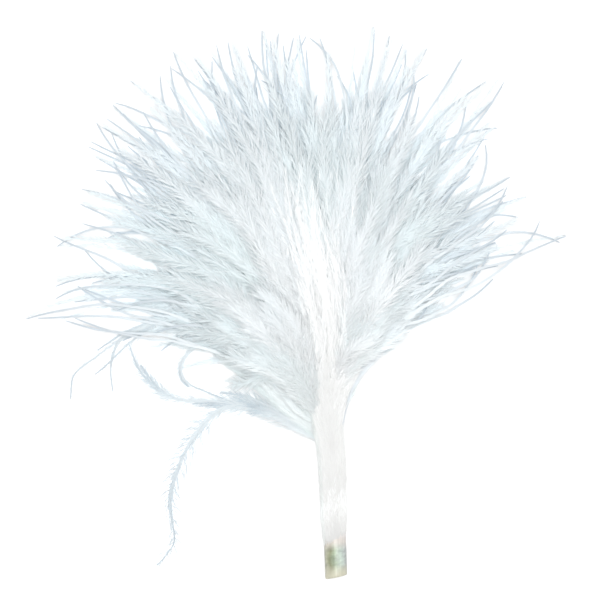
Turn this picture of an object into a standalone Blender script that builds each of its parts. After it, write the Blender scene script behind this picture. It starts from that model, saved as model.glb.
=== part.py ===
"""A white ostrich feather lying on a table: a hollow quill and the locks of down that grow from it."""

import math

import bmesh
import bpy
from mathutils import Vector

MM = 0.001

# Quill: (x, y, height of the axis, diameter) in mm, from below the cut end to the thin end in the down
QUILL_ROUTE = [
    (9.8, -69.0, 2.5, 5.2),
    (9.5, -60.0, 2.6, 5.3),
    (9.1, -50.0, 3.0, 5.2),
    (8.7, -40.0, 3.9, 5.2),
    (8.0, -30.0, 5.4, 5.0),
    (7.0, -18.0, 7.6, 4.4),
    (5.8, -5.0, 9.8, 3.6),
    (4.6, 8.0, 11.2, 2.6),
    (3.2, 22.0, 12.0, 1.4),
]
QUILL_SIDES = 16
CUT_END = (9.7, -66.0, 2.55)
CUT_TILT = math.radians(12.0)
BORE_DIAMETER = 3.2
BORE_DEPTH = 7.0
BORE_SIDES = 12
NECK = (8.0, -33.0)

# A lock leaves the quill at this share of its tip's bearing from the neck, and ends at the other
START_TURN = 0.5
END_TURN = 1.65
# Each handle of its curve is this share of the straight way to the tip
HANDLE = 0.44
# The widest locks of every layer leave the quill here
LOWEST_ROOT_Y = -31.0
WIDEST_BEARING = math.radians(62.0)

# Stations along a lock, and the share of the full width and thickness at each
LOCK_STATIONS = [0.0, 0.2, 0.42, 0.62, 0.82, 1.0]
SPIKE_WIDTHS = [0.3, 0.62, 0.95, 0.9, 0.36, 0.05]
BLUNT_WIDTHS = [0.3, 0.6, 0.92, 1.0, 0.7, 0.08]
LOCK_THICKNESSES = [0.4, 0.7, 1.0, 0.9, 0.45, 0.1]
LOCK_SIDES = 6

# Locks by layer: tips as (x, y, height) in mm, from the left round to the right
LOW_TIPS = [
    (-22, -16, 2.0), (-43, -2, 1.5), (-65, -4, 1.0), (-58, 1, 2.0), (-57.5, 13.5, 1.5),
    (-52, 24, 2.0), (-49, 36, 2.5), (-44, 48, 2.0), (-32, 54, 2.5), (-29.5, 60, 2.0),
    (-19, 61.5, 2.5), (-8, 65.5, 2.0), (1, 64, 2.5), (18.8, 66.5, 2.0), (26, 61.5, 2.5),
    (40, 58.5, 2.0), (50, 53, 2.5), (48.5, 42, 2.0), (51, 30, 2.5), (56, 25, 2.0),
    (65, 16, 1.5), (36, 5, 1.5), (24, -4, 2.5),
]
MIDDLE_TIPS = [
    (-36, -7, 5), (-57.5, 4, 5), (-56, 16, 6), (-50, 27, 7), (-47.5, 43, 7),
    (-39.5, 53.5, 7), (-24.5, 59, 7), (-15.5, 62.5, 8), (-4, 64.5, 8), (8.5, 60, 8),
    (22.3, 64, 8), (31.5, 60.5, 7), (45.5, 53, 7), (43.8, 35, 7), (53, 20.5, 6),
    (48, 14, 5), (14.5, 49, 8),
]
UPPER_TIPS = [
    (-31, -11, 7), (-34, 4, 10), (-40, 14, 11), (-36, 24, 12), (-38, 34, 12),
    (-28, 45, 13), (-19, 49, 13), (-7, 53, 14), (4, 50, 14), (11, 46, 14),
    (20, 50, 13), (28, 44, 13), (35, 36, 12), (40, 26, 11), (36, 15, 10),
    (30, 4, 7),
]
FRONT_TIPS = [
    (-26, -3, 11), (-29, 7, 13), (-24, 29, 18), (-18, 38, 19), (-10, 45, 20), (-2, 47, 20),
    (7, 45, 20), (15, 42, 19), (22, 34, 18), (29, 24, 16), (27, 12, 13),
]

# Layer: tips, width profile, then in mm the highest root's y, the crest's height,
# the rise of every other crest, the full width and the full thickness
LAYERS = {
    "low": (LOW_TIPS, SPIKE_WIDTHS, 2.0, 1.4, 1.4, 8.5, 5.0),
    "middle": (MIDDLE_TIPS, SPIKE_WIDTHS, -6.0, 8.0, 2.4, 8.5, 5.5),
    "upper": (UPPER_TIPS, BLUNT_WIDTHS, -14.0, 15.0, 3.0, 9.0, 6.5),
    "front": (FRONT_TIPS, BLUNT_WIDTHS, -22.0, 23.0, 2.5, 10.0, 7.0),
}

# Stray strands beside the fan: (x, y, height, width) in mm along each
STRAYS = {
    "hanging": [
        (8, -32, 4.6, 4.0), (1, -30, 3.6, 5.0), (-6, -27.2, 2.6, 6.0), (-12, -25, 1.6, 3.8),
        (-18, -25.2, 1.2, 3.0), (-23, -29.5, 1.0, 2.6), (-26.5, -35, 0.8, 1.8),
        (-29.5, -42, 0.8, 1.4), (-30.3, -50, 0.8, 1.6), (-29.1, -57, 0.7, 1.2),
        (-31, -60.5, 0.6, 1.0), (-33.6, -63.5, 0.5, 0.5),
    ],
    "curled": [
        (-10, -25, 1.8, 3.0), (-19, -24, 1.2, 3.0), (-29, -23.4, 1.0, 1.8),
        (-34.4, -20.3, 0.9, 1.4), (-38.2, -15.5, 0.9, 1.2), (-40.4, -9.6, 0.8, 0.6),
    ],
    "side": [
        (-18, 3, 4.0, 4.0), (-27, -0.5, 3.0, 3.4), (-35, -5.2, 1.6, 1.8), (-42, -8.7, 1.1, 1.6),
        (-48.5, -13.3, 0.9, 1.2), (-53.5, -17.5, 0.8, 1.0), (-54.4, -23.4, 0.5, 0.5),
    ],
    "side_twig": [
        (-41, -8.2, 1.1, 1.2), (-43.7, -11.5, 0.9, 1.0), (-44.7, -16, 0.7, 0.8),
        (-44.2, -21.5, 0.5, 0.5),
    ],
}
STRAY_SIDES = 6
STRAY_MOST_THICKNESS = 3.0


def clear_scene():
    for obj in list(bpy.data.objects):
        bpy.data.objects.remove(obj)


def make_material(name, colour, roughness):
    material = bpy.data.materials.new(name)
    material.use_nodes = True
    shader = material.node_tree.nodes["Principled BSDF"]
    shader.inputs["Base Color"].default_value = (*colour, 1.0)
    shader.inputs["Roughness"].default_value = roughness
    shader.inputs["Metallic"].default_value = 0.0
    return material


def add_object(name, bm):
    bmesh.ops.recalc_face_normals(bm, faces=bm.faces)
    mesh = bpy.data.meshes.new(name)
    bm.to_mesh(mesh)
    bm.free()
    obj = bpy.data.objects.new(name, mesh)
    bpy.context.scene.collection.objects.link(obj)
    return obj


def as_helper(obj, collection):
    """Hides an operand of a Boolean, so that it isn't a piece of the part."""
    bpy.context.scene.collection.objects.unlink(obj)
    collection.objects.link(obj)
    obj.hide_render = True
    obj.display_type = "WIRE"


def add_ring(bm, centre, tangent, width, thickness, sides):
    """One cross-section, with its width held level."""
    across = tangent.cross(Vector((0, 0, 1))).normalized()
    upward = across.cross(tangent).normalized()
    ring = []
    for index in range(sides):
        angle = 2 * math.pi * index / sides
        offset = across * (math.cos(angle) * width / 2) + upward * (math.sin(angle) * thickness / 2)
        ring.append(bm.verts.new((centre + offset) * MM))
    return ring


def loft(bm, rings):
    """Joins rings of equal size and closes both ends."""
    for lower, upper in zip(rings, rings[1:]):
        for index in range(len(lower)):
            after = (index + 1) % len(lower)
            bm.faces.new((lower[index], lower[after], upper[after], upper[index]))
    bm.faces.new(rings[0])
    bm.faces.new(rings[-1])


def sweep(points, widths, thicknesses, sides):
    bm = bmesh.new()
    rings = []
    for index, point in enumerate(points):
        before = points[max(index - 1, 0)]
        after = points[min(index + 1, len(points) - 1)]
        tangent = (after - before).normalized()
        rings.append(add_ring(bm, point, tangent, widths[index], thicknesses[index], sides))
    loft(bm, rings)
    return bm


def quill_at(y):
    """A point on the quill's axis, by its y."""
    for lower, upper in zip(QUILL_ROUTE, QUILL_ROUTE[1:]):
        if y <= upper[1]:
            share = (y - lower[1]) / (upper[1] - lower[1])
            return Vector(lower[:3]).lerp(Vector(upper[:3]), share)
    return Vector(QUILL_ROUTE[-1][:3])


def heading(angle):
    """A level direction, by its angle from +Y towards +X."""
    return Vector((math.sin(angle), math.cos(angle), 0))


def bezier(a, b, c, d, t):
    s = 1 - t
    return a * s**3 + b * (3 * s * s * t) + c * (3 * s * t * t) + d * t**3


def lock_route(tip, highest_root, crest):
    """Points of a lock that leaves the quill, bows outward and passes its crest height on the way."""
    bearing = math.atan2(tip.x - NECK[0], tip.y - NECK[1])
    outward = min(abs(bearing) / WIDEST_BEARING, 1)
    root = quill_at(highest_root + (LOWEST_ROOT_Y - highest_root) * outward)
    reach = (tip - root).length * HANDLE
    leave = root + heading(bearing * START_TURN) * reach
    arrive = tip - heading(bearing * END_TURN) * reach
    leave.z = root.z + (crest - root.z) * 0.9
    arrive.z = crest + (crest - root.z) * 0.3
    return [bezier(root, leave, arrive, tip, t) for t in LOCK_STATIONS]


def make_lock(name, tip, profile, highest_root, crest, width, thickness):
    points = lock_route(Vector(tip), highest_root, crest)
    widths = [width * share for share in profile]
    thicknesses = [thickness * share for share in LOCK_THICKNESSES]
    return add_object(name, sweep(points, widths, thicknesses, LOCK_SIDES))


def make_stray(name, route):
    points = [Vector(station[:3]) for station in route]
    widths = [station[3] for station in route]
    thicknesses = [min(width, STRAY_MOST_THICKNESS) for width in widths]
    return add_object(name, sweep(points, widths, thicknesses, STRAY_SIDES))


def make_quill(material):
    points = [Vector(station[:3]) for station in QUILL_ROUTE]
    diameters = [station[3] for station in QUILL_ROUTE]
    quill = add_object("feather", sweep(points, diameters, diameters, QUILL_SIDES))
    quill.data.materials.append(material)
    return quill


def add_boolean(obj, name, operation, collection):
    modifier = obj.modifiers.new(name, "BOOLEAN")
    modifier.operation = operation
    modifier.solver = "EXACT"
    modifier.operand_type = "COLLECTION"
    modifier.collection = collection
    return modifier


def islands(bm):
    """Lists of the faces that hang together over edges shared by just two faces."""
    waiting = set(bm.faces)
    while waiting:
        island = [waiting.pop()]
        for face in island:
            for edge in face.edges:
                if len(edge.link_faces) != 2:
                    continue
                for neighbour in edge.link_faces:
                    if neighbour in waiting:
                        waiting.remove(neighbour)
                        island.append(neighbour)
        yield island


def signed_volume(faces):
    """Positive for an outer skin, negative for the skin of a pocket inside it."""
    total = 0.0
    for face in faces:
        first = face.verts[0].co
        for left, right in zip(face.verts[1:], face.verts[2:]):
            total += first.dot(left.co.cross(right.co))
    return total / 6


def apply_and_fill_pockets(obj):
    """Applies the Booleans, and fills the closed pockets that crossing locks leave between them."""
    graph = bpy.context.evaluated_depsgraph_get()
    bm = bmesh.new()
    bm.from_object(obj, graph)
    pockets = [island for island in islands(bm) if signed_volume(island) < 0]
    for pocket in pockets:
        bmesh.ops.delete(bm, geom=pocket, context="FACES")
    obj.modifiers.clear()
    bm.to_mesh(obj.data)
    bm.free()


def new_collection(name):
    collection = bpy.data.collections.new(name)
    bpy.context.scene.collection.children.link(collection)
    return collection


def make_box(name, size, centre):
    bm = bmesh.new()
    bmesh.ops.create_cube(bm, size=1.0)
    bmesh.ops.scale(bm, vec=Vector(size) * MM, verts=bm.verts)
    bmesh.ops.translate(bm, vec=Vector(centre) * MM, verts=bm.verts)
    return add_object(name, bm)


def make_table_cutter():
    """A box below the table's surface, which leaves the down resting on flat patches."""
    return make_box("table_cutter", (200, 200, 20), (0, 0, -10))


def make_end_cutter():
    """A box whose far side trims the quill's end at a slant."""
    box = make_box("end_cutter", (30, 20, 30), (0, -10, 0))
    box.location = Vector(CUT_END) * MM
    box.rotation_euler.z = CUT_TILT
    return box


def make_bore_cutter():
    """The blind hollow that shows in the quill's cut end."""
    bm = bmesh.new()
    bmesh.ops.create_cone(
        bm,
        cap_ends=True,
        segments=BORE_SIDES,
        radius1=BORE_DIAMETER / 2 * MM,
        radius2=BORE_DIAMETER / 2 * MM,
        depth=2 * BORE_DEPTH * MM,
    )
    bore = add_object("bore_cutter", bm)
    bore.location = Vector(CUT_END) * MM
    bore.rotation_euler.x = math.radians(90)
    return bore


def main():
    clear_scene()
    white = make_material("white_down", (0.86, 0.89, 0.91), 0.9)
    quill = make_quill(white)
    grown = new_collection("grown")
    cut = new_collection("cut")
    for layer, (tips, profile, highest_root, crest, rise, width, thickness) in LAYERS.items():
        for index, tip in enumerate(tips):
            height = crest + rise * (index % 2)
            lock = make_lock(f"{layer}_{index}", tip, profile, highest_root, height, width, thickness)
            as_helper(lock, grown)
    for name, route in STRAYS.items():
        as_helper(make_stray(f"stray_{name}", route), grown)
    for cutter in (make_table_cutter(), make_end_cutter(), make_bore_cutter()):
        as_helper(cutter, cut)
    add_boolean(quill, "grow_locks", "UNION", grown)
    add_boolean(quill, "cut_flat_and_hollow", "DIFFERENCE", cut)
    apply_and_fill_pockets(quill)


main()
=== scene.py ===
import math

import bpy
import numpy as np
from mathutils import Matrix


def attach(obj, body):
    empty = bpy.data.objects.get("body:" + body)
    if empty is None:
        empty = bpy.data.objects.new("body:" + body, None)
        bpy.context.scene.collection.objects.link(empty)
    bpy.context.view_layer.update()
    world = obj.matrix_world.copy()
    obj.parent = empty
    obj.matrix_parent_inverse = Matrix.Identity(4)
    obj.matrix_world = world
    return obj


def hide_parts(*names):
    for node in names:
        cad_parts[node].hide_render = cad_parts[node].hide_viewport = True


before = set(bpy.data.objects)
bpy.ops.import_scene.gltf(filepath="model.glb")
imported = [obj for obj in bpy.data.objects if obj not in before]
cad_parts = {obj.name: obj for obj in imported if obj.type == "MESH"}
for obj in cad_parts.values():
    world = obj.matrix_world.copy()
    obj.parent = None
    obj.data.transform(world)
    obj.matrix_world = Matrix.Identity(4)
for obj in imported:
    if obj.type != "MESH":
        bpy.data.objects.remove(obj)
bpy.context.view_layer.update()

MM = 0.001
UP = np.array([0.0, 0.0, 1.0])

# Quill: (x, y, height of the axis, diameter) in mm, from below the cut end to the thin end in the down
QUILL_ROUTE = np.array([
    (9.8, -69.0, 2.5, 5.2),
    (9.5, -60.0, 2.6, 5.3),
    (9.1, -50.0, 3.0, 5.2),
    (8.7, -40.0, 3.9, 5.2),
    (8.0, -30.0, 5.4, 5.0),
    (7.0, -18.0, 7.6, 4.4),
    (5.8, -5.0, 9.8, 3.6),
    (4.6, 8.0, 11.2, 2.6),
    (3.2, 22.0, 12.0, 1.4),
])
CUT_END = np.array([9.7, -66.0, 2.55])
CUT_TILT = math.radians(12.0)
BORE_DIAMETER = 3.2
BORE_DEPTH = 7.0
NECK = np.array([8.0, -33.0])

# How a lock bends, as in the solid
START_TURN = 0.5
END_TURN = 1.65
HANDLE = 0.44
LOWEST_ROOT_Y = -31.0
WIDEST_BEARING = math.radians(62.0)
LOCK_STATIONS = [0.0, 0.2, 0.42, 0.62, 0.82, 1.0]
SPIKE_WIDTHS = [0.3, 0.62, 0.95, 0.9, 0.36, 0.05]
BLUNT_WIDTHS = [0.3, 0.6, 0.92, 1.0, 0.7, 0.08]
LOCK_THICKNESSES = [0.4, 0.7, 1.0, 0.9, 0.45, 0.1]

# Tips of the locks as (x, y, height) in mm, from the left round to the right
LOW_TIPS = [
    (-19.5, -12, 2.0), (-43, -2, 1.5), (-65, -4, 1.0), (-58, 1, 2.0), (-57.5, 13.5, 1.5),
    (-52, 24, 2.0), (-49, 36, 2.5), (-44, 48, 2.0), (-32, 54, 2.5), (-29.5, 60, 2.0),
    (-19, 61.5, 2.5), (-8, 65.5, 2.0), (1, 64, 2.5), (18.8, 66.5, 2.0), (26, 61.5, 2.5),
    (40, 58.5, 2.0), (50, 53, 2.5), (48.5, 42, 2.0), (51, 30, 2.5), (56, 25, 2.0),
    (65, 16, 1.5), (36, 5, 1.5), (24, -2, 2.5),
]
MIDDLE_TIPS = [
    (-34, -4, 5), (-57.5, 4, 5), (-56, 16, 6), (-50, 27, 7), (-47.5, 43, 7),
    (-39.5, 53.5, 7), (-24.5, 59, 7), (-15.5, 62.5, 8), (-4, 64.5, 8), (8.5, 60, 8),
    (22.3, 64, 8), (31.5, 60.5, 7), (45.5, 53, 7), (43.8, 35, 7), (53, 20.5, 6),
    (48, 14, 5), (14.5, 49, 8),
]
UPPER_TIPS = [
    (-28, -6.5, 7), (-34, 4, 10), (-40, 14, 11), (-36, 24, 12), (-38, 34, 12),
    (-28, 45, 13), (-19, 49, 13), (-7, 53, 14), (4, 50, 14), (11, 46, 14),
    (20, 50, 13), (28, 44, 13), (35, 36, 12), (40, 26, 11), (36, 15, 10),
    (30, 4, 7),
]
FRONT_TIPS = [
    (-24, -5, 10), (-28, 5, 13), (-24, 30, 17), (-17, 37, 19), (-9, 41, 20), (0.5, 43.5, 20),
    (6.8, 44, 20), (17, 41, 19), (23, 33, 18), (29, 24, 16), (27, 12, 13),
]

# Single barbs that stand out of the fan's rim: (x, y) of the tip in mm, and the way it points there,
# in degrees from +Y towards +X
RIM_BARBS = [
    (-32.6, -11.8, -135), (-34.5, -7.5, -112), (-38, -4.5, -105), (-43, -2, -115), (-65, -4, -108),
    (-58, 0.7, -118), (-58, 3.8, -112), (-45.2, 15.6, -110), (-58.3, 16, -62), (-57.5, 13.4, -128),
    (-52, 23.7, -65), (-51.5, 27.2, -76), (-39, 31, -35), (-42, 31, -38), (-43.8, 34, -20),
    (-48.2, 35, -60), (-50, 37.5, -66), (-49.5, 38.8, -64), (-48, 43.2, -30), (-46.7, 42.3, -60),
    (-45.5, 44.2, -55), (-43.5, 48, -75), (-44, 47.6, -43), (-40, 53.5, -54), (-32.7, 54.5, -3),
    (-30.2, 57, -5), (-29.5, 60.3, -19), (-24.7, 59, -36), (-20.2, 58.2, 0), (-19.1, 61.8, -12),
    (-16.4, 62.7, -10), (-15, 61.5, -22), (-11.7, 59.6, -45), (-8.2, 65.5, 0), (-7.2, 63.5, 1),
    (-6.2, 63, -5), (-4.2, 64.7, 8), (-3.1, 62, -5), (-0.6, 63.8, 12), (0.8, 64.5, -10),
    (2.5, 64.3, 30), (3.2, 63.6, -55), (5.7, 63.6, -20), (10, 54.5, -35), (18.8, 66.5, 0),
    (22.4, 64, 12), (25.6, 62, 22), (26.5, 61, 3), (31.5, 61, 30), (32, 55, 58), (28.3, 55.3, 0),
    (40, 58.7, 32), (45.7, 53.2, 58), (50, 53, 27), (48.5, 42, 88), (46.5, 39.5, 78),
    (34.6, 42, 0), (43.8, 35.3, 32), (42, 30.5, 50), (38.5, 31, 20), (51.5, 30.2, 60),
    (50, 27.4, 58), (50.5, 25.7, 65), (55.5, 25.5, 75), (53.5, 20.5, 102), (65, 16, 68),
    (63.5, 14.4, 116), (48, 14.2, 75), (46, 9.8, 70), (48.5, 8.8, 80), (44, 8, 86), (34.8, 5.5, 95),
]

# Stray strands beside the fan, lengths in mm: route is (x, y, height, width) along each, barbs how many
# are bundled in it, ends where on its way a shorter one ends, each how many barbules a barb has, then
# their length, spread and own width, looseness how far the barbs come apart towards their tips, and
# hair_shift how far ahead along the barb its barbules' colour is
STRAYS = {
    "wing": dict(route=[
        (8, -33, 4.6, 3.0), (0, -29.4, 3.6, 3.4), (-6.5, -26.0, 2.6, 2.6), (-11, -24.7, 1.8, 1.8),
        (-17, -24.2, 1.4, 2.2), (-25, -24.4, 1.2, 3.4),
    ], barbs=7, ends=(0.5, 1.0), each=90, length=5.0, spread=1.1,
        barbule_width=0.18, looseness=1.6, hair_shift=0.1),
    "hanging": dict(route=[
        (-2, -28, 3.2, 2.0), (-6, -26.2, 2.6, 2.0), (-12, -24.6, 1.6, 1.6),
        (-18, -25.4, 1.2, 1.3), (-22.4, -29.2, 1.0, 1.2), (-26.2, -34.6, 0.8, 1.1),
        (-29.2, -41.6, 0.8, 1.2), (-30.4, -49, 0.8, 1.1), (-29.3, -57, 0.7, 0.7),
        (-31, -60.5, 0.6, 0.6), (-33.6, -63.5, 0.5, 0.4),
    ], barbs=3, ends=(0.6, 0.85), each=100, length=6.0, spread=1.7,
        barbule_width=0.2, looseness=0.4, hair_shift=0.3),
    "curled": dict(route=[
        (-4, -27, 3.0, 1.2), (-10, -25, 1.8, 1.6), (-19, -24, 1.2, 1.8),
        (-29, -23.4, 1.0, 1.4), (-34.4, -20.3, 0.9, 1.3), (-38.2, -15.5, 0.9, 1.1),
        (-40.4, -9.6, 0.8, 0.6),
    ], barbs=3, ends=(0.8, 1.0), each=100, length=4.6, spread=1.2,
        barbule_width=0.18, looseness=0.5, hair_shift=0.1),
    "side": dict(route=[
        (-8, 3, 6.0, 4.0), (-18, 3, 4.0, 4.0), (-27, -0.5, 3.0, 3.4), (-35, -5.2, 1.6, 1.8),
        (-42, -8.7, 1.1, 1.0), (-48.5, -13.3, 0.9, 0.8), (-53.5, -17.5, 0.8, 0.6),
        (-54.4, -23.4, 0.5, 0.4),
    ], barbs=5, ends=(0.5, 0.85), each=110, length=2.8, spread=0.7,
        barbule_width=0.18, looseness=1.0, hair_shift=0.0),
    "side_twig": dict(route=[
        (-34, -5, 1.6, 1.2), (-41, -8.2, 1.1, 1.2), (-43.7, -11.5, 0.9, 0.8),
        (-44.7, -16, 0.7, 0.6), (-44.2, -21.5, 0.5, 0.4),
    ], barbs=2, ends=(0.5, 0.85), each=80, length=1.8, spread=0.6,
        barbule_width=0.16, looseness=0.6, hair_shift=0.0),
    "loop": dict(route=[
        (-12, -6, 4.0, 1.2), (-20, -9.0, 2.6, 1.2), (-24.5, -11, 1.6, 1.2), (-27.3, -14.5, 1.0, 1.2),
        (-27.4, -17.6, 0.8, 1.0), (-25.6, -19.8, 0.8, 0.8), (-22, -21.4, 0.9, 0.6),
        (-17.5, -23.2, 1.2, 0.5),
    ], barbs=3, ends=(0.6, 0.9), each=80, length=2.4, spread=0.7,
        barbule_width=0.18, looseness=0.4, hair_shift=0.0),
}
# The strands along the fan's lower right edge, given in the same way
EDGE_STRANDS = {
    "right": dict(route=[
        (10.6, -31, 5.0, 0.5), (11.6, -25.5, 5.0, 0.7), (13.0, -21, 5.4, 0.9), (15.3, -16.8, 6.0, 1.4),
        (18.4, -13.0, 7.0, 1.8), (21.8, -9.0, 8.0, 1.8), (25.2, -3.6, 9.0, 1.6), (29.5, 3.0, 8.6, 1.4),
        (33.5, 8.0, 7.0, 1.2),
    ], barbs=6, ends=(0.55, 0.95), each=120, length=2.8, spread=0.5,
        barbule_width=0.2, looseness=0.4, hair_shift=0.0),
}

# Each layer of the fan, lengths in mm. shaded: the locks in shade. open: those with a gap after them.
# root_y: the highest root. crest, rise: a lock's height, and what every other lock adds to it. fall: how
# far below that the looser barbs may lie. width, thickness: a lock's full size. barbs, loose: how many a
# lock has, and the share of them that lies between locks. ends: where on its way to a tip a shorter barb
# ends. barbules: how many a barb has, then their length, spread and own width, where along the barb they
# start, and how long they are at its tip as a share
LAYERS = {
    "low": dict(
        shaded=(), open=(), tips=LOW_TIPS, profile=SPIKE_WIDTHS,
        root_y=2.0, crest=1.4, rise=1.4, fall=0.0, width=8.5, thickness=5.0,
        barbs=12, loose=0.5, ends=(0.5, 0.95), barbules=240, length=4.2, spread=0.8,
        barbule_width=0.28, start=0.2, tip_share=0.4,
    ),
    "middle": dict(
        shaded=(0, 1, 2, 3), open=(), tips=MIDDLE_TIPS, profile=SPIKE_WIDTHS,
        root_y=-6.0, crest=8.0, rise=2.4, fall=5.0, width=8.5, thickness=4.0,
        barbs=18, loose=0.6, ends=(0.5, 0.95), barbules=255, length=4.8, spread=0.95,
        barbule_width=0.28, start=0.2, tip_share=0.5,
    ),
    "upper": dict(
        shaded=(0, 1, 2, 3, 7, 8, 9, 12, 13), open=(), tips=UPPER_TIPS, profile=BLUNT_WIDTHS,
        root_y=-14.0, crest=15.0, rise=3.0, fall=7.0, width=9.0, thickness=4.5,
        barbs=20, loose=0.65, ends=(0.6, 0.98), barbules=262, length=5.2, spread=1.1,
        barbule_width=0.27, start=0.12, tip_share=0.9,
    ),
    "front": dict(
        shaded=(0, 5, 6, 8, 10), open=(1,), tips=FRONT_TIPS, profile=BLUNT_WIDTHS,
        root_y=-22.0, crest=22.0, rise=2.5, fall=8.0, width=10.0, thickness=5.0,
        barbs=25, loose=0.65, ends=(0.5, 0.98), barbules=290, length=5.4, spread=1.15,
        barbule_width=0.22, start=0.15, tip_share=0.9,
    ),
}

# Colours along a barb, from its root to its tip, and the shares of its length where they lie. The low, middle
# and edge down is bluer than the front layer: painted shade where the down lies deeper
COLOUR_PLACES = (0.0, 0.55, 0.8, 1.0)
DOWN_COLOURS = {
    "low": ((0.923, 0.958, 0.958), (0.92, 0.956, 0.961), (0.91, 0.943, 0.955), (0.89, 0.926, 0.94)),
    "middle": ((0.923, 0.958, 0.958), (0.92, 0.956, 0.961), (0.912, 0.945, 0.958), (0.89, 0.926, 0.942)),
    "upper": ((0.945, 0.963, 0.963), (0.935, 0.958, 0.963), (0.92, 0.945, 0.953), (0.902, 0.928, 0.94)),
    "front": ((0.952, 0.958, 0.961), (0.939, 0.951, 0.956), (0.926, 0.943, 0.951), (0.90, 0.924, 0.935)),
    "edges": ((0.932, 0.955, 0.955), (0.928, 0.95, 0.953), (0.92, 0.943, 0.949), (0.90, 0.925, 0.935)),
    "rim": ((0.925, 0.953, 0.958), (0.92, 0.945, 0.955), (0.82, 0.86, 0.885), (0.66, 0.725, 0.775)),
    "stem": ((0.80, 0.80, 0.792), (0.895, 0.90, 0.895), (0.95, 0.953, 0.955), (0.935, 0.95, 0.953)),
    "strays": ((0.92, 0.95, 0.955), (0.875, 0.905, 0.92), (0.79, 0.84, 0.865), (0.70, 0.76, 0.80)),
    "edge_line": ((0.80, 0.845, 0.88), (0.92, 0.94, 0.955), (0.915, 0.935, 0.95), (0.86, 0.90, 0.925)),
}
# What the shaded barbs' colours are multiplied by, and below which tint a barb is shaded
SHADED = (0.972, 0.986, 0.985)
SHADED_TINTS = 0.35
# The ranges that the tints of shaded and of other barbs are drawn from
SHADED_RANGE = (0.05, 0.3)
TINT_RANGE = (0.5, 0.95)
# The share of the light that passes through a barb
THROUGH_SHARES = {
    "low": 0.5, "middle": 0.5, "upper": 0.5, "front": 0.5, "edges": 0.5, "rim": 0.4, "stem": 0.25,
    "strays": 0.5, "edge_line": 0.4,
}

BARB_STEPS = 12
BARB_ROOT_RADIUS = 0.13
BARB_TIP_RADIUS = 0.07
TUBE_SIDES = 3
LEAST_HEIGHT = 0.06
# Heights above the soft top are pressed together, so that none reaches the top
SOFT_TOP = 24.0
TOP = 28.4

# How a lock's barbs come apart from FRAY_START on: least shares of its width and thickness, then in mm
# the spread of their sideways drift and of their sinking, and the most that the whole lock sways
FRAY_START = 0.35
FRAY_LENGTH = 0.6
FRAYED_WIDTH = 0.62
FRAYED_THICKNESS = 0.45
BARB_DRIFT = 2.6
BARB_SINK = 0.9
LOCK_SWAY = 1.4

# Barbules: angles to the barb in degrees at its root, middle and tip, and in radians how far they are
# lifted out of its plane and rolled round themselves
BARBULE_ANGLES = [12, 24, 20]
BARBULE_LIFT = 0.4
BARBULE_ROLL = 0.33
BARBULE_LAST = 0.985


def smoothstep(value):
    value = np.clip(value, 0, 1)
    return value * value * (3 - 2 * value)


def normalise(vectors):
    return vectors / np.maximum(np.linalg.norm(vectors, axis=-1, keepdims=True), 1e-9)


def quill_at(y):
    """(x, height, diameter) of the quill at each y."""
    return [np.interp(y, QUILL_ROUTE[:, 1], QUILL_ROUTE[:, column]) for column in (0, 2, 3)]


def heading(angle):
    """A level direction, by its angle from +Y towards +X."""
    return np.array([math.sin(angle), math.cos(angle), 0.0])


def lock_handles(tip, highest_root, crest):
    """The four Bezier handles of a lock, as in the solid."""
    tip = np.array(tip, float)
    bearing = math.atan2(tip[0] - NECK[0], tip[1] - NECK[1])
    outward = min(abs(bearing) / WIDEST_BEARING, 1)
    root_y = highest_root + (LOWEST_ROOT_Y - highest_root) * outward
    root_x, root_z, _ = quill_at(root_y)
    root = np.array([root_x, root_y, root_z])
    reach = np.linalg.norm(tip - root) * HANDLE
    leave = root + heading(bearing * START_TURN) * reach
    arrive = tip - heading(bearing * END_TURN) * reach
    leave[2] = root[2] + (crest - root[2]) * 0.9
    arrive[2] = crest + (crest - root[2]) * 0.3
    return np.array([root, leave, arrive, tip])


def bezier(handles, t):
    """Points and directions at t, for one set of handles."""
    t = t[..., None]
    s = 1 - t
    a, b, c, d = handles
    points = a * s**3 + b * (3 * s * s * t) + c * (3 * s * t * t) + d * t**3
    directions = (b - a) * (3 * s * s) + (c - b) * (6 * s * t) + (d - c) * (3 * t * t)
    return points, normalise(directions)


def polyline_directions(points):
    return normalise(np.gradient(points, axis=-2))


def sides_of(directions):
    """Two unit vectors across each direction: a level one, and one that points up."""
    across = normalise(np.cross(directions, UP))
    return across, np.cross(across, directions)


def keep_above_table(points, margin):
    """Presses what would pass through the table flat onto it, and what rises too high down a little."""
    height = np.maximum(points[..., 2], margin)
    above = np.maximum(height - SOFT_TOP, 0)
    points[..., 2] = np.minimum(height, SOFT_TOP) + (TOP - SOFT_TOP) * (1 - np.exp(-above / (TOP - SOFT_TOP)))
    return points


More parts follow.
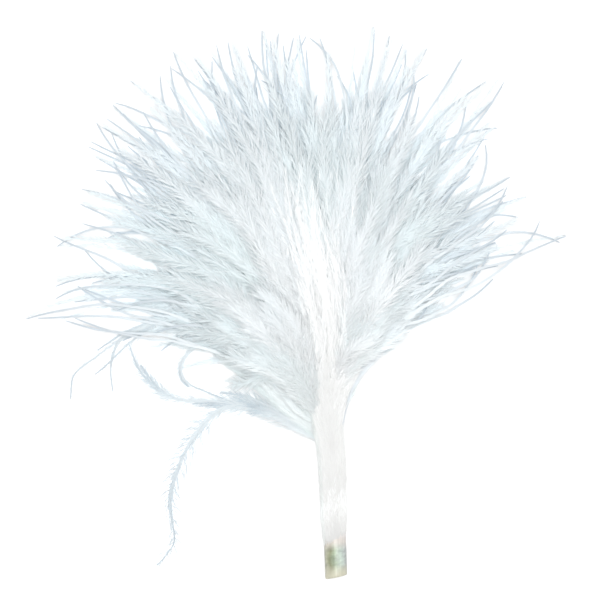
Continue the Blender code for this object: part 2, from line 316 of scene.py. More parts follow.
def lock_barbs(rng, handles, profile, width, thickness, count, shortest_and_longest):
    """Centre lines of a lock's barbs: one reaches its tip, and the rest end before it and fray apart."""
    ends = rng.uniform(*shortest_and_longest, count)
    ends[0] = 1.0
    t = ends[:, None] * np.linspace(0, 1, BARB_STEPS)
    points, directions = bezier(handles, t)
    across, upward = sides_of(directions)
    turn = rng.uniform(0, 2 * math.pi, count)
    out = np.sqrt(rng.uniform(0.0, 1.0, count))
    out[0] = 0.0
    half_width = np.interp(t, LOCK_STATIONS, profile) * width / 2
    half_thickness = np.interp(t, LOCK_STATIONS, LOCK_THICKNESSES) * thickness / 2
    fray = smoothstep((t - FRAY_START) / FRAY_LENGTH)
    half_width = np.maximum(half_width, FRAYED_WIDTH * width / 2 * fray)
    half_thickness = np.maximum(half_thickness, FRAYED_THICKNESS * thickness / 2 * fray)
    drift = rng.normal(0, BARB_DRIFT, (count, 1)) * fray
    sink = rng.normal(0, BARB_SINK, (count, 1)) * fray
    wave = np.sin(2 * math.pi * (rng.uniform(0.5, 1.6, (count, 1)) * t + rng.uniform(0, 1, (count, 1))))
    wave = wave * rng.uniform(0.2, 1.3, (count, 1)) * smoothstep(t * 1.6)
    sway = rng.uniform(-LOCK_SWAY, LOCK_SWAY) * np.sin(math.pi * (1.6 * t + rng.uniform(0, 1)))
    sway = sway * smoothstep(t * 1.4)
    drift[0] = 0
    sink[0] = 0
    level = out[:, None] * np.cos(turn)[:, None] * half_width + drift + wave + sway
    height = out[:, None] * np.sin(turn)[:, None] * half_thickness + sink
    points = points + across * level[..., None] + upward * height[..., None]
    return keep_above_table(points, LEAST_HEIGHT + BARB_ROOT_RADIUS)


def tubes(points, radii, tints):
    """Three-sided tapered tubes along each centre line, one side up, closed at both ends."""
    count, steps, _ = points.shape
    across, upward = sides_of(polyline_directions(points))
    turns = 2 * math.pi * np.arange(TUBE_SIDES) / TUBE_SIDES - math.pi / 2
    ring = (
        across[:, :, None, :] * np.cos(turns)[None, None, :, None]
        + upward[:, :, None, :] * np.sin(turns)[None, None, :, None]
    )
    verts = points[:, :, None, :] + ring * radii[:, :, None, None]
    station = np.arange(steps - 1)[:, None]
    side = np.arange(TUBE_SIDES)[None, :]
    after = (side + 1) % TUBE_SIDES
    a = station * TUBE_SIDES + side
    b = station * TUBE_SIDES + after
    c = b + TUBE_SIDES
    d = a + TUBE_SIDES
    skin = np.concatenate([np.stack([a, b, c], -1), np.stack([a, c, d], -1)]).reshape(-1, 3)
    last = (steps - 1) * TUBE_SIDES
    caps = np.array([[0, 2, 1], [last, last + 1, last + 2]])
    one = np.concatenate([skin, caps])
    faces = (one[None] + (np.arange(count) * steps * TUBE_SIDES)[:, None, None]).reshape(-1, 3)
    along = np.broadcast_to(np.linspace(0.02, 0.98, steps)[None, :, None], (count, steps, TUBE_SIDES))
    tint = np.broadcast_to(tints[:, None, None], (count, steps, TUBE_SIDES))
    return verts.reshape(-1, 3), faces, np.stack([along.ravel(), tint.ravel()], -1), False


def barbules(
    rng, points, tints, each, length, spread, width=0.14, start=0.1, tip_share=0.3, mottle=0.04, shift=0.0,
):
    """Slivers that leave both sides of each centre line at a narrow angle and bend towards its tip.
    A spread under 1 presses them closer to it, and a shift gives them the colour of a place nearer its
    tip."""
    count, steps, _ = points.shape
    directions = polyline_directions(points)
    u = (np.arange(each)[None, :] + rng.uniform(0, 1, (count, each))) / each
    u = start + (BARBULE_LAST - start) * u**0.8
    place = u * (steps - 1)
    low = np.minimum(place.astype(int), steps - 2)
    share = (place - low)[..., None]
    row = np.arange(count)[:, None]
    base = points[row, low] * (1 - share) + points[row, low + 1] * share
    ahead = normalise(directions[row, low] * (1 - share) + directions[row, low + 1] * share)
    across, upward = sides_of(ahead)
    hand = np.where(np.arange(each)[None, :] % 2 == 0, 1.0, -1.0)
    lift = rng.normal(0, BARBULE_LIFT, (count, each))
    side = across * (hand * np.cos(lift))[..., None] + upward * np.sin(lift)[..., None]
    size = np.interp(u, [0.0, 0.15, 0.45, 0.75, 1.0], [0.5, 0.85, 1.0, (1 + tip_share) / 2, tip_share])
    size = size * length * rng.uniform(0.65, 1.25, (count, each))
    angle = np.radians(np.interp(u, [0.0, 0.5, 1.0], BARBULE_ANGLES))
    angle = angle * rng.uniform(0.2, 1.8, (count, each)) * spread
    first = ahead * np.cos(angle)[..., None] + side * np.sin(angle)[..., None]
    second = normalise(first + ahead * rng.uniform(0.1, 0.9, (count, each))[..., None])
    middle = base + first * (size * 0.45)[..., None]
    tip = middle + second * (size * 0.55)[..., None]
    flat, raised = sides_of(normalise(first + second))
    roll = rng.uniform(-BARBULE_ROLL, BARBULE_ROLL, (count, each))
    edge = flat * np.cos(roll)[..., None] + raised * np.sin(roll)[..., None]
    half = edge * (width / 2 * np.interp(u, [0.0, 0.6, 1.0], [1.0, 1.0, 0.7]))[..., None]
    verts = np.stack([base, middle - half, middle + half, tip], axis=-2)
    verts = keep_above_table(verts, LEAST_HEIGHT)
    one = np.array([[0, 1, 2], [3, 2, 1]])
    faces = (one[None] + (np.arange(count * each) * 4)[:, None, None]).reshape(-1, 3)
    along = np.clip(u[..., None] + shift + np.array([0.0, 0.04, 0.04, 0.1]), 0.02, 0.98)
    tint = np.broadcast_to(tints[:, None, None], (count, each, 4))
    tint = np.clip(tint + rng.uniform(-mottle, mottle, (count, each, 1)), 0.02, 0.98)
    return verts.reshape(-1, 3), faces, np.stack([along.ravel(), tint.ravel()], -1), True


def join(parts):
    """One set of vertices, triangles, UVs and whether each triangle is smooth, from several."""
    verts, faces, uvs, smooth = [], [], [], []
    offset = 0
    for part_verts, part_faces, part_uvs, part_smooth in parts:
        verts.append(part_verts)
        faces.append(part_faces + offset)
        uvs.append(part_uvs)
        smooth.append(np.full(len(part_faces), part_smooth))
        offset += len(part_verts)
    return np.concatenate(verts), np.concatenate(faces), np.concatenate(uvs), np.concatenate(smooth)


def add_piece(name, verts, faces, uvs, smooth, material):
    """A mesh object from triangles in mm, as a piece that stands for the feather's solid."""
    mesh = bpy.data.meshes.new(name)
    mesh.vertices.add(len(verts))
    mesh.vertices.foreach_set("co", (verts * MM).astype(np.float32).ravel())
    mesh.loops.add(faces.size)
    mesh.loops.foreach_set("vertex_index", faces.astype(np.int32).ravel())
    mesh.polygons.add(len(faces))
    mesh.polygons.foreach_set("loop_start", np.arange(0, faces.size, 3, dtype=np.int32))
    mesh.polygons.foreach_set("use_smooth", smooth)
    mesh.update(calc_edges=True)
    layer = mesh.uv_layers.new(name="OFBake")
    layer.data.foreach_set("uv", uvs[faces.ravel()].astype(np.float32).ravel())
    mesh.validate()
    mesh.materials.append(material)
    piece = bpy.data.objects.new(name, mesh)
    bpy.context.scene.collection.objects.link(piece)
    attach(piece, "root")
    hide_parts("feather")


def tapered(count, steps, root_radius, tip_radius, even=0.8):
    """A radius at each step of each barb. A small power keeps it even for longer."""
    taper = np.linspace(1, 0, steps) ** even
    return np.broadcast_to(tip_radius + (root_radius - tip_radius) * taper, (count, steps))


def add_layer(seed, name, layer, material):
    """A layer's locks, and looser barbs that lie between two neighbouring locks and under them."""
    rng = np.random.default_rng(seed)
    tips, barbs, ends = layer["tips"], layer["barbs"], layer["ends"]
    loose_barbs = round(barbs * layer["loose"])
    form = layer["profile"], layer["width"], layer["thickness"]
    loose_form = layer["profile"], layer["width"] * 0.7, layer["thickness"]
    lines = []
    shaded = []
    for index, tip in enumerate(tips):
        handles = lock_handles(tip, layer["root_y"], layer["crest"] + layer["rise"] * (index % 2))
        lines.append(lock_barbs(rng, handles, *form, barbs - loose_barbs, ends))
        shaded += [index in layer["shaded"]] * (barbs - loose_barbs)
    for index in range(loose_barbs * (len(tips) - 1)):
        first = index % (len(tips) - 1)
        if first in layer["open"]:
            continue
        share = (index // (len(tips) - 1) + rng.uniform()) / loose_barbs
        tip = np.array(tips[first]) * (1 - share) + np.array(tips[first + 1]) * share
        tip[:2] = NECK + (tip[:2] - NECK) * rng.uniform(0.7, 0.97)
        sink = layer["fall"] * rng.uniform()
        tip[2] = max(1.0, tip[2] - sink)
        handles = lock_handles(tip, layer["root_y"], layer["crest"] + layer["rise"] * rng.uniform() - sink)
        lines.append(lock_barbs(rng, handles, *loose_form, 2, ends)[1:])
        shaded.append(first in layer["shaded"])
    lines = np.concatenate(lines)
    tints = np.where(shaded, rng.uniform(*SHADED_RANGE, len(lines)), rng.uniform(*TINT_RANGE, len(lines)))
    radii = tapered(len(lines), BARB_STEPS, BARB_ROOT_RADIUS, BARB_TIP_RADIUS)
    down = barbules(
        rng, lines, tints, layer["barbules"], layer["length"], layer["spread"], layer["barbule_width"],
        layer["start"], layer["tip_share"],
    )
    add_piece(name, *join([tubes(lines, radii, tints), down]), material)


EDGE_BARBS = 110
EDGE_STEPS = 14
EDGE_SHADED_WITHIN = 1.2
# The fan's two lower edges as (x, y) in mm, from the quill outwards, then for each the direction inwards,
# how far inwards in mm its barbs reach, and their greatest height at the edge and its gain a mm inwards
LEFT_EDGE = np.array([
    (6.6, -34.5), (-1.5, -28.0), (-10.0, -20.6), (-18.0, -13.6), (-26.0, -7.0), (-34.0, 0.0),
]), (0.62, 0.78), 11.0, (3.0, 1.3)
RIGHT_EDGE = np.array([
    (10.3, -30.0), (12.8, -23.0), (16.0, -16.5), (21.8, -9.0), (25.6, -2.5), (30.0, 4.0),
]), (-0.8, 0.78), 5.0, (6.0, 1.5)
EDGE_ROOT_HEIGHT = 5.0
EDGE_SHADE = 0.45
EDGE_BARBULES = dict(each=200, length=3.4, spread=0.6, width=0.22, start=0.1, tip_share=0.6)


def add_edges(seed, material):
    """Barbs that lie along the fan's two lower edges and fill them, low beside the quill."""
    rng = np.random.default_rng(seed)
    t = np.linspace(0, 1, EDGE_STEPS)
    lines = []
    shaded = []
    for index in range(EDGE_BARBS):
        edge, inwards, depth, (lowest, climb) = LEFT_EDGE if index % 4 else RIGHT_EDGE
        end = rng.uniform(0.35, 1.0) * (len(edge) - 1)
        place = end * t
        stations = np.arange(len(edge))
        x = np.interp(place, stations, edge[:, 0])
        y = np.interp(place, stations, edge[:, 1])
        inward = rng.uniform(0.0, 1.0) ** 1.5 * depth
        shift = inward * (0.5 + 0.5 * smoothstep(place / 3.2)) + rng.uniform(0.3, 1.0)
        wave = 0.35 * np.sin(2 * math.pi * (rng.uniform(0.5, 1.5) * t + rng.uniform()))
        top = (lowest + climb * inward) * rng.uniform(0.6, 1.0)
        height = EDGE_ROOT_HEIGHT + (top - EDGE_ROOT_HEIGHT) * smoothstep(t * 1.5)
        shaded.append(inward < EDGE_SHADED_WITHIN)
        shift = shift + wave
        lines.append(np.stack([x + inwards[0] * shift, y + inwards[1] * shift, height], -1))
    lines = keep_above_table(np.array(lines), LEAST_HEIGHT + BARB_ROOT_RADIUS)
    tints = rng.uniform(*TINT_RANGE, len(lines))
    tints = np.where(shaded, EDGE_SHADE * tints, tints)
    radii = tapered(len(lines), EDGE_STEPS, BARB_ROOT_RADIUS, BARB_TIP_RADIUS)
    parts = [tubes(lines, radii, tints), barbules(rng, lines, tints, **EDGE_BARBULES)]
    add_piece("down_edges", *join(parts), material)


# Rim, in mm: where its highest barb leaves the quill, the heights of their crests, what share of the
# way to the tip is straightened, and the radii at the root and the tip
RIM_STEPS = 28
RIM_ROOT_Y = -4.0
RIM_CRESTS = (1.5, 13.0)
RIM_REACH = 0.34
RIM_RADII = (0.42, 0.1)
RIM_BARBULES = dict(each=200, length=3.0, spread=0.36, start=0.15)
MORE_RIM_BARBS = 76


def more_rim_barbs(rng):
    """Further barbs of the rim, each between two neighbouring tips of the low and middle layers."""
    found = []
    for index in range(MORE_RIM_BARBS):
        tips = LOW_TIPS if index % 2 else MIDDLE_TIPS
        first = int(rng.integers(len(tips) - 1))
        share = rng.uniform()
        tip = np.array(tips[first][:2]) * (1 - share) + np.array(tips[first + 1][:2]) * share
        tip = NECK + (tip - NECK) * rng.uniform(0.86, 0.99)
        bearing = math.degrees(math.atan2(tip[0] - NECK[0], tip[1] - NECK[1]))
        found.append((tip[0], tip[1], bearing * 1.25 + rng.normal(0, 20)))
    return found


def add_rim(seed, material):
    """The single barbs of the rim, each with short barbules pressed along it."""
    rng = np.random.default_rng(seed)
    lines = []
    for x, y, turn in RIM_BARBS + more_rim_barbs(rng):
        crest = rng.uniform(*RIM_CRESTS)
        tip_height = max(0.6, crest * 0.4)
        root, leave, arrive, tip = lock_handles((x, y, tip_height), RIM_ROOT_Y, crest)
        reach = np.linalg.norm(tip - root) * RIM_REACH
        arrive[:2] = tip[:2] - heading(math.radians(turn))[:2] * reach
        points, _ = bezier((root, leave, arrive, tip), np.linspace(0, 1, RIM_STEPS))
        across, _ = sides_of(polyline_directions(points))
        t = np.linspace(0, 1, RIM_STEPS)
        wave = rng.uniform(0.3, 0.9) * np.sin(2 * math.pi * (rng.uniform(1.2, 3) * t + rng.uniform()))
        wave += rng.uniform(0.1, 0.25) * np.sin(2 * math.pi * (rng.uniform(4, 7) * t + rng.uniform()))
        lines.append(points + across * (wave * np.sin(math.pi * t))[:, None])
    lines = keep_above_table(np.array(lines), LEAST_HEIGHT + BARB_ROOT_RADIUS)
    tints = rng.uniform(*TINT_RANGE, len(lines))
    radii = tapered(len(lines), RIM_STEPS, *RIM_RADII, 0.33)
    parts = [tubes(lines, radii, tints), barbules(rng, lines, tints, **RIM_BARBULES)]
    add_piece("down_rim", *join(parts), material)


STEM_STEPS = 28
STEM_BARBS = 400
# In mm along Y: where the sheath begins, how far that slants, its raggedness, and the ends of its barbs
# in front and behind the quill
STEM_START = -57.2
STEM_SLANT = 1.5
STEM_RAGGEDNESS = 1.2
STEM_FRONT_ENDS = (-12, 33)
STEM_BACK_END = -24
# The down round the quill, by y in mm: how far it leans to +X, its half width and its top's height
STEM_Y = [-60, -36, -30, -23, -14, -6.5, 0, 6, 12, 20, 34]
STEM_LEAN = [0, 0, -0.4, -0.1, 1.8, 2.6, 2.4, 1.8, 0.8, 0, -1]
STEM_HALF_WIDTH = [2.7, 2.6, 2.8, 4.0, 7.0, 9.3, 11.2, 12.8, 14.2, 16, 20]
STEM_TOP = [5.3, 7.0, 9.2, 12.4, 17.4, 21.0, 23.6, 25.2, 26.2, 26.6, 25.0]
# Slivers of the sheath's lower end, and those of the whole stem
SHEATH_BARBULES = dict(each=16, length=2.2, spread=0.5, width=0.26, start=0.0, tip_share=0.9, mottle=0.005)
STEM_BARBULES = dict(each=122, length=3.8, spread=0.45, width=0.2, start=0.02, tip_share=0.9, mottle=0.005)


def add_stem_down(seed, material):
    """Barbs pressed along the quill, with ragged lower ends, which spread over the front of the fan."""
    rng = np.random.default_rng(seed)
    shape = (STEM_BARBS, 1)
    turn = rng.uniform(-1, 1, shape)
    turn = math.pi * np.sign(turn) * np.abs(turn) ** 1.5
    start = STEM_START + STEM_SLANT * np.sin(turn) + np.abs(rng.normal(0, STEM_RAGGEDNESS, shape))
    over = (1 + np.cos(turn)) / 2
    end = rng.uniform(*STEM_FRONT_ENDS, shape) * over + STEM_BACK_END * (1 - over)
    t = np.linspace(0, 1, STEM_STEPS)
    y = start + (end - start) * t
    x, z, _ = quill_at(y)
    wander = np.sin(2 * math.pi * (rng.uniform(1, 3, shape) * t + rng.uniform(0, 1, shape)))
    angle = turn + 0.05 * wander
    layer = rng.uniform(-0.05, 0.25, shape) * smoothstep((y + 59) / 8)
    layer = layer - rng.uniform(-0.02, 0.05, shape) * np.maximum(y + 36, 0)
    across = x + np.interp(y, STEM_Y, STEM_LEAN)
    across = across + np.sin(angle) * np.interp(y, STEM_Y, STEM_HALF_WIDTH) + 0.2 * wander * (y > -34)
    height = z + np.cos(angle) * (np.interp(y, STEM_Y, STEM_TOP) - z) + layer
    lines = keep_above_table(np.stack([across, y, height], -1), LEAST_HEIGHT + 0.1)
    tints = 0.72 + 0.2 * turn[:, 0] / math.pi + rng.uniform(-0.01, 0.01, STEM_BARBS)
    # The barbs down the quill's left side get shaded tints: painted shade along that side
    tints = np.where(np.sin(turn[:, 0]) < -0.8, 0.4 * tints, tints)
    radii = tapered(STEM_BARBS, STEM_STEPS, BARB_ROOT_RADIUS, BARB_TIP_RADIUS) * np.minimum(1, 0.4 + t * 8)
    sheath = lines[:, : STEM_STEPS // 5]
    parts = [
        tubes(lines, radii, tints),
        barbules(rng, sheath, tints, **SHEATH_BARBULES),
        barbules(rng, lines, tints, **STEM_BARBULES),
    ]
    add_piece("down_stem", *join(parts), material)


STRAY_STEPS = 44
STRAY_RADII = (0.3, 0.12)


def smooth_route(route, steps):
    """A smooth curve through a route's stations, by Catmull-Rom."""
    route = np.array(route, float)
    ends = np.concatenate([[2 * route[0] - route[1]], route, [2 * route[-1] - route[-2]]])
    place = np.linspace(0, len(route) - 1 - 1e-6, steps)
    index = place.astype(int)
    t = (place - index)[:, None]
    a, b, c, d = (ends[index + shift] for shift in range(4))
    return 0.5 * (2 * b + (c - a) * t + (2 * a - 5 * b + 4 * c - d) * t**2 + (3 * b - a - 3 * c + d) * t**3)


def add_strays(seed, name, strands, material):
    """Strands that lie beside the fan: one barb runs the whole way, and the others end on the way."""
    rng = np.random.default_rng(seed)
    parts = []
    for strand in strands.values():
        whole = smooth_route(strand["route"], 4 * STRAY_STEPS)
        lines = []
        for index in range(strand["barbs"]):
            end = 1.0 if index == 0 else rng.uniform(*strand["ends"])
            part = whole[np.linspace(0, end * (len(whole) - 1), STRAY_STEPS).astype(int)]
            across, upward = sides_of(polyline_directions(part[:, :3]))
            turn = rng.uniform(0, 2 * math.pi)
            half = part[:, 3:] / 2 * (0.0 if index == 0 else math.sqrt(rng.uniform(0.05, 1.0)))
            free = smoothstep((np.linspace(0, 1, STRAY_STEPS) - 0.4) / 0.6)[:, None]
            loose = rng.normal(0, strand["looseness"]) * free * (index > 0)
            shift = across * (half * math.cos(turn) + loose) + upward * half * 0.7 * math.sin(turn)
            lines.append(part[:, :3] + shift)
        lines = keep_above_table(np.array(lines), LEAST_HEIGHT + 0.16)
        tints = rng.uniform(*TINT_RANGE, len(lines))
        parts.append(tubes(lines, tapered(len(lines), STRAY_STEPS, *STRAY_RADII, 0.4), tints))
        parts.append(barbules(
            rng, lines, tints, strand["each"], strand["length"], strand["spread"], strand["barbule_width"],
            start=0.03, shift=strand["hair_shift"],
        ))
    add_piece(name, *join(parts), material)


def add_node(tree, kind, **values):
    """A node whose named inputs hold the given values."""
    node = tree.nodes.new(kind)
    for name, value in values.items():
        node.inputs[name.replace("_", " ")].default_value = value
    return node


def ramp_node(tree, source, stops):
    """A colour ramp through (position, colour) stops."""
    node = tree.nodes.new("ShaderNodeValToRGB")
    elements = node.color_ramp.elements
    while len(elements) < len(stops):
        elements.new(0.5)
    for element, (position, colour) in zip(elements, stops):
        element.position = position
        element.color = (*colour, 1)
    tree.links.new(source, node.inputs["Fac"])
    return node.outputs["Color"]


def noise_node(tree, vector, stretch, detail, low, high):
    """Noise over a stretched vector, brought between low and high."""
    mapping = add_node(tree, "ShaderNodeMapping", Scale=stretch)
    noise = add_node(tree, "ShaderNodeTexNoise", Scale=1.0, Detail=detail)
    spread = add_node(tree, "ShaderNodeMapRange", From_Min=0.3, From_Max=0.7, To_Min=low, To_Max=high)
    tree.links.new(vector, mapping.inputs["Vector"])
    tree.links.new(mapping.outputs["Vector"], noise.inputs["Vector"])
    tree.links.new(noise.outputs["Fac"], spread.inputs["Value"])
    return spread.outputs["Result"]


def mixed(tree, kind, factor, first, second):
    """Two colours blended by a factor, which is a number or a socket."""
    node = tree.nodes.new("ShaderNodeMix")
    node.data_type = "RGBA"
    node.blend_type = kind
    if isinstance(factor, float):
        node.inputs["Factor"].default_value = factor
    else:
        tree.links.new(factor, node.inputs["Factor"])
    for socket, value in ((node.inputs["A"], first), (node.inputs["B"], second)):
        if isinstance(value, tuple):
            socket.default_value = (*value, 1)
        else:
            tree.links.new(value, socket)
    return node.outputs["Result"]


def scaled(tree, colour, factor):
    node = tree.nodes.new("ShaderNodeVectorMath")
    node.operation = "SCALE"
    tree.links.new(colour, node.inputs[0])
    tree.links.new(factor, node.inputs["Scale"])
    return node.outputs["Vector"]


def new_material(name, roughness):
    material = bpy.data.materials.new(name)
    material.use_nodes = True
    material.node_tree.nodes["Principled BSDF"].inputs["Roughness"].default_value = roughness
    return material, material.node_tree


def finish_translucent(tree, colour, share):
    """Lets a share of the light through the surface, in the surface's own colour."""
    shader = tree.nodes["Principled BSDF"]
    through = tree.nodes.new("ShaderNodeBsdfTranslucent")
    mix = add_node(tree, "ShaderNodeMixShader", Fac=share)
    tree.links.new(colour, shader.inputs["Base Color"])
    tree.links.new(colour, through.inputs["Color"])
    tree.links.new(shader.outputs["BSDF"], mix.inputs[1])
    tree.links.new(through.outputs["BSDF"], mix.inputs[2])
    tree.links.new(mix.outputs["Shader"], tree.nodes["Material Output"].inputs["Surface"])


def uv_nodes(tree):
    uv = tree.nodes.new("ShaderNodeUVMap")
    uv.uv_map = "OFBake"
    split = tree.nodes.new("ShaderNodeSeparateXYZ")
    tree.links.new(uv.outputs["UV"], split.inputs["Vector"])
    return uv.outputs["UV"], split.outputs["X"], split.outputs["Y"]


def down_material(name):
    """White down: its colour runs from root to tip and varies a little from barb to barb."""
    material, tree = new_material(f"down_{name}", 0.75)
    tree.nodes["Principled BSDF"].inputs["Specular IOR Level"].default_value = 0.25
    uv, along, tint = uv_nodes(tree)
    base = ramp_node(tree, along, list(zip(COLOUR_PLACES, DOWN_COLOURS[name])))
    shade = ramp_node(tree, tint, [(SHADED_TINTS, SHADED), (SHADED_TINTS + 0.1, (1.0, 1.0, 1.0))])
    base = mixed(tree, "MULTIPLY", 1.0, base, shade)
    tone = noise_node(tree, uv, (5.0, 60.0, 1.0), 3.0, 0.97, 1.0)
    finish_translucent(tree, scaled(tree, base, tone), THROUGH_SHARES[name])
    return material


# The quill's colours, by how far round it they are: right side 0, top 0.25, left side 0.5. Partly the horn's
# own olive and mint, partly painted light: the lighter bands are a painted highlight stripe and a painted lit
# edge
STUB_COLOURS_AND_HIGHLIGHTS = [
    (0.0, (0.53, 0.58, 0.58)), (0.09, (0.59, 0.64, 0.62)), (0.16, (0.62, 0.72, 0.65)),
    (0.215, (0.61, 0.70, 0.60)), (0.25, (0.45, 0.55, 0.40)), (0.33, (0.36, 0.38, 0.25)),
    (0.40, (0.53, 0.54, 0.41)), (0.52, (0.62, 0.62, 0.53)), (0.75, (0.53, 0.53, 0.43)),
    (1.0, (0.53, 0.58, 0.58)),
]
END_COLOUR = (0.70, 0.68, 0.54)
RIND_COLOUR = (0.88, 0.81, 0.76)
UPPER_QUILL_COLOUR = (0.96, 0.96, 0.96)
HORN_THROUGH_SHARE = 0.2


def horn_material():
    """Quill horn: mottled olive and mint at the bare end, with a painted highlight stripe and lit edge round
    it, tan at the cut, white under the down.
    """
    material, tree = new_material("quill_horn", 0.42)
    uv, around, along = uv_nodes(tree)
    wander = noise_node(tree, uv, (3.0, 9.0, 1.0), 3.0, -0.035, 0.035)
    place = tree.nodes.new("ShaderNodeMath")
    tree.links.new(around, place.inputs[0])
    tree.links.new(wander, place.inputs[1])
    # The horn's colour round the quill, with its painted highlight stripe and lit edge
    horn = ramp_node(tree, place.outputs["Value"], STUB_COLOURS_AND_HIGHLIGHTS)
    blotch = noise_node(tree, uv, (9.0, 22.0, 1.0), 4.0, 0.72, 1.22)
    horn = scaled(tree, horn, blotch)
    near_cut = ramp_node(tree, along, [(0.02, (0.95,) * 3), (0.06, (0.7,) * 3), (0.11, (0.0,) * 3)])
    horn = mixed(tree, "MIX", near_cut, horn, END_COLOUR)
    rind = ramp_node(tree, along, [(0.23, (0.0,) * 3), (0.3, (0.8,) * 3), (0.36, (1.0,) * 3)])
    horn = mixed(tree, "MIX", rind, horn, RIND_COLOUR)
    under_down = ramp_node(tree, along, [(0.32, (0.0,) * 3), (0.4, (1.0,) * 3)])
    horn = mixed(tree, "MIX", under_down, horn, UPPER_QUILL_COLOUR)
    lines = noise_node(tree, uv, (46.0, 1.6, 1.0), 2.0, 0.9, 1.06)
    finish_translucent(tree, scaled(tree, horn, lines), HORN_THROUGH_SHARE)
    return material


def pith_material():
    """Dry pith: cream, with darker pores."""
    material, tree = new_material("quill_pith", 0.9)
    uv, _, _ = uv_nodes(tree)
    pores = noise_node(tree, uv, (14.0, 14.0, 1.0), 4.0, 0.0, 1.0)
    colour = ramp_node(tree, pores, [(0.1, (0.54, 0.48, 0.33)), (0.5, (0.90, 0.86, 0.72))])
    finish_translucent(tree, colour, HORN_THROUGH_SHARE)
    return material


QUILL_SIDES = 64
CUT_ROUNDING = 0.18
# In mm from the cut: where the stub's part of the UVs ends, the length that the rest of them spans, where
# the quill ends in the down, and the rings between. The stub gets half of the UVs, as its colours change
# most
STUB_LENGTH = 14.0
UPPER_LENGTH = 71.0
QUILL_END = 84.2
QUILL_RINGS = [*np.linspace(0.6, STUB_LENGTH, 36), *np.linspace(16, 84, 36)]
STUB_SHARE = 0.5
PITH_SIDES = 28
# The pith's rings from its face inwards, as (radius, distance from the cut) in mm
PITH_RINGS = ((0.02, 2.9), (0.5, 2.6), (1.0, 2.3), (1.4, 2.1), (1.66, 2.0), (1.66, 6.0), (0.02, 6.0))


def ring_around(y_shift, sides, radius=None, share=1.0):
    """One ring of the quill, at a distance from the cut: its radius is fixed, or a share of the quill's."""
    turns = 2 * math.pi * np.arange(sides) / sides
    x, z, diameter = quill_at(CUT_END[1] + y_shift)
    if radius is None:
        radius = diameter / 2 * share
    groove = 1 - 0.012 * np.abs(np.sin(turns * 9 + 0.6)) - 0.008 * np.cos(turns * 3 + 1.1)
    across = x + np.cos(turns) * radius * groove
    height = z + np.sin(turns) * radius * groove
    slant = math.tan(CUT_TILT) * (across - CUT_END[0]) * max(0.0, 1 - y_shift / 10)
    return np.stack([across, CUT_END[1] + y_shift + slant, height], -1)


def skin_of_rings(rings, uvs):
    """Triangles over a row of rings, each with a seam, so that the UVs run once round."""
    count = len(rings)
    rings = np.stack(rings)
    rings = np.concatenate([rings, rings[:, :1]], axis=1)
    width = rings.shape[1]
    station = np.arange(count - 1)[:, None]
    side = np.arange(width - 1)[None, :]
    a = station * width + side
    b = a + 1
    c = b + width
    d = a + width
    faces = np.concatenate([np.stack([a, b, c], -1), np.stack([a, c, d], -1)]).reshape(-1, 3)
    return rings.reshape(-1, 3), faces, uvs, np.ones(len(faces), bool)


def add_quill(material):
    """The quill's horn: a tube with a slanted, softly rounded cut end and a bore, closed at both ends."""
    wall = BORE_DIAMETER / 2
    rings = [ring_around(BORE_DEPTH, QUILL_SIDES, radius=0.05)]
    for shift, radius in ((BORE_DEPTH, wall), (CUT_ROUNDING, wall), (0.04, wall + 0.07), (0.0, wall + 0.3)):
        rings.append(ring_around(shift, QUILL_SIDES, radius=radius))
    for shift, share in ((0.0, 0.9), (0.05, 0.97)):
        rings.append(ring_around(shift, QUILL_SIDES, share=share))
    shifts = np.array([0.0] * len(rings) + [CUT_ROUNDING, *QUILL_RINGS, QUILL_END])
    for shift in (CUT_ROUNDING, *QUILL_RINGS):
        rings.append(ring_around(shift, QUILL_SIDES))
    rings.append(ring_around(QUILL_END, QUILL_SIDES, share=0.1))
    beyond = STUB_SHARE + (1 - STUB_SHARE) * (shifts - STUB_LENGTH) / UPPER_LENGTH
    along = np.where(shifts < STUB_LENGTH, STUB_SHARE * shifts / STUB_LENGTH, beyond)
    around = np.linspace(0, 1, QUILL_SIDES + 1)
    uvs = np.stack(np.broadcast_arrays(around[None, :], along[:, None]), -1).reshape(-1, 2)
    verts, faces, uvs, smooth = skin_of_rings(rings, np.clip(uvs, 0.01, 0.99))
    add_piece("quill", keep_above_table(verts, 0.0), faces, uvs, smooth, material)


def add_pith(material):
    """A rough plug of pith inside the bore."""
    rings = []
    uvs = []
    around = np.linspace(0, 2 * math.pi, PITH_SIDES + 1)
    for radius, shift in PITH_RINGS:
        ring = ring_around(shift, PITH_SIDES, radius=radius)
        ring[:, 1] += 0.12 * np.sin(around[:-1] * 5 + radius * 4)
        rings.append(ring)
        uvs.append(np.stack([0.5 + radius / 4 * np.cos(around), 0.5 + radius / 4 * np.sin(around)], -1))
    add_piece("quill_pith", *skin_of_rings(rings, np.concatenate(uvs)), material)


FLOOR_SIZE = 4.0
WORLD_STRENGTH = 0.39
# The soft light above the table: place and side in metres, power in watts
LAMP_PLACE = (0.01, 0.015, 1.2)
LAMP_SIZE = 0.3
LAMP_POWER = 13.2
# The camera straight above, in metres: the picture's side is FRAME_WIDTH at FRAME_HEIGHT over the table
CAMERA_PLACE = (0.00096, 0.0006, 0.9)
FRAME_WIDTH = 0.144
FRAME_HEIGHT = 0.005
SENSOR = 36.0
# White down is lit by light that has passed from barb to barb many times
MOST_BOUNCES = 24
MOST_BOUNCES_OF_A_KIND = 16


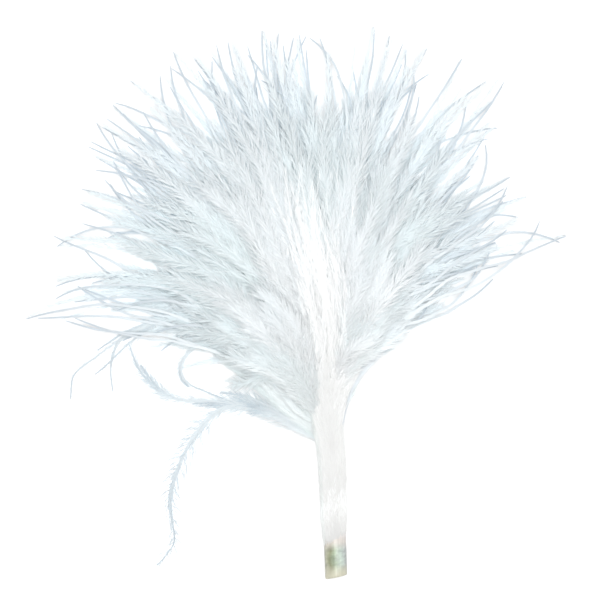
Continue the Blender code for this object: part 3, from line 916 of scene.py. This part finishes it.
def floor_material():
    material, tree = new_material("floor_white", 0.9)
    place = tree.nodes.new("ShaderNodeTexCoord").outputs["Object"]
    tone = noise_node(tree, place, (6.0, 6.0, 6.0), 2.0, 0.0, 1.0)
    colour = ramp_node(tree, tone, [(0.0, (0.95, 0.95, 0.95)), (1.0, (0.97, 0.97, 0.97))])
    tree.links.new(colour, tree.nodes["Principled BSDF"].inputs["Base Color"])
    return material


def add_stage():
    bpy.ops.mesh.primitive_plane_add(size=FLOOR_SIZE, location=(0, 0, 0))
    floor = bpy.context.object
    floor.name = "floor"
    floor.data.materials.append(floor_material())
    world = bpy.data.worlds.new("studio")
    bpy.context.scene.world = world
    world.use_nodes = True
    background = world.node_tree.nodes["Background"]
    background.inputs["Color"].default_value = (1.0, 1.0, 1.0, 1)
    background.inputs["Strength"].default_value = WORLD_STRENGTH
    light = bpy.data.lights.new("softbox", "AREA")
    light.energy = LAMP_POWER
    light.size = LAMP_SIZE
    lamp = bpy.data.objects.new("softbox", light)
    lamp.location = LAMP_PLACE
    bpy.context.scene.collection.objects.link(lamp)


def add_camera():
    """Straight above, with the photograph's frame."""
    data = bpy.data.cameras.new("camera")
    data.sensor_width = SENSOR
    data.sensor_height = SENSOR
    data.lens = SENSOR * (CAMERA_PLACE[2] - FRAME_HEIGHT) / FRAME_WIDTH
    data.clip_end = 10.0
    camera = bpy.data.objects.new("camera", data)
    camera.location = CAMERA_PLACE
    bpy.context.scene.collection.objects.link(camera)
    bpy.context.scene.camera = camera


def main():
    for seed, (name, layer) in enumerate(LAYERS.items()):
        add_layer(seed, f"down_{name}", layer, down_material(name))
    add_edges(9, down_material("edges"))
    add_rim(10, down_material("rim"))
    add_stem_down(11, down_material("stem"))
    add_strays(12, "down_strays", STRAYS, down_material("strays"))
    add_strays(13, "down_edge_line", EDGE_STRANDS, down_material("edge_line"))
    add_quill(horn_material())
    add_pith(pith_material())
    add_stage()
    add_camera()
    scene = bpy.context.scene
    scene.view_settings.view_transform = "Standard"
    scene.cycles.max_bounces = MOST_BOUNCES
    scene.cycles.diffuse_bounces = MOST_BOUNCES_OF_A_KIND
    scene.cycles.transmission_bounces = MOST_BOUNCES_OF_A_KIND


main()
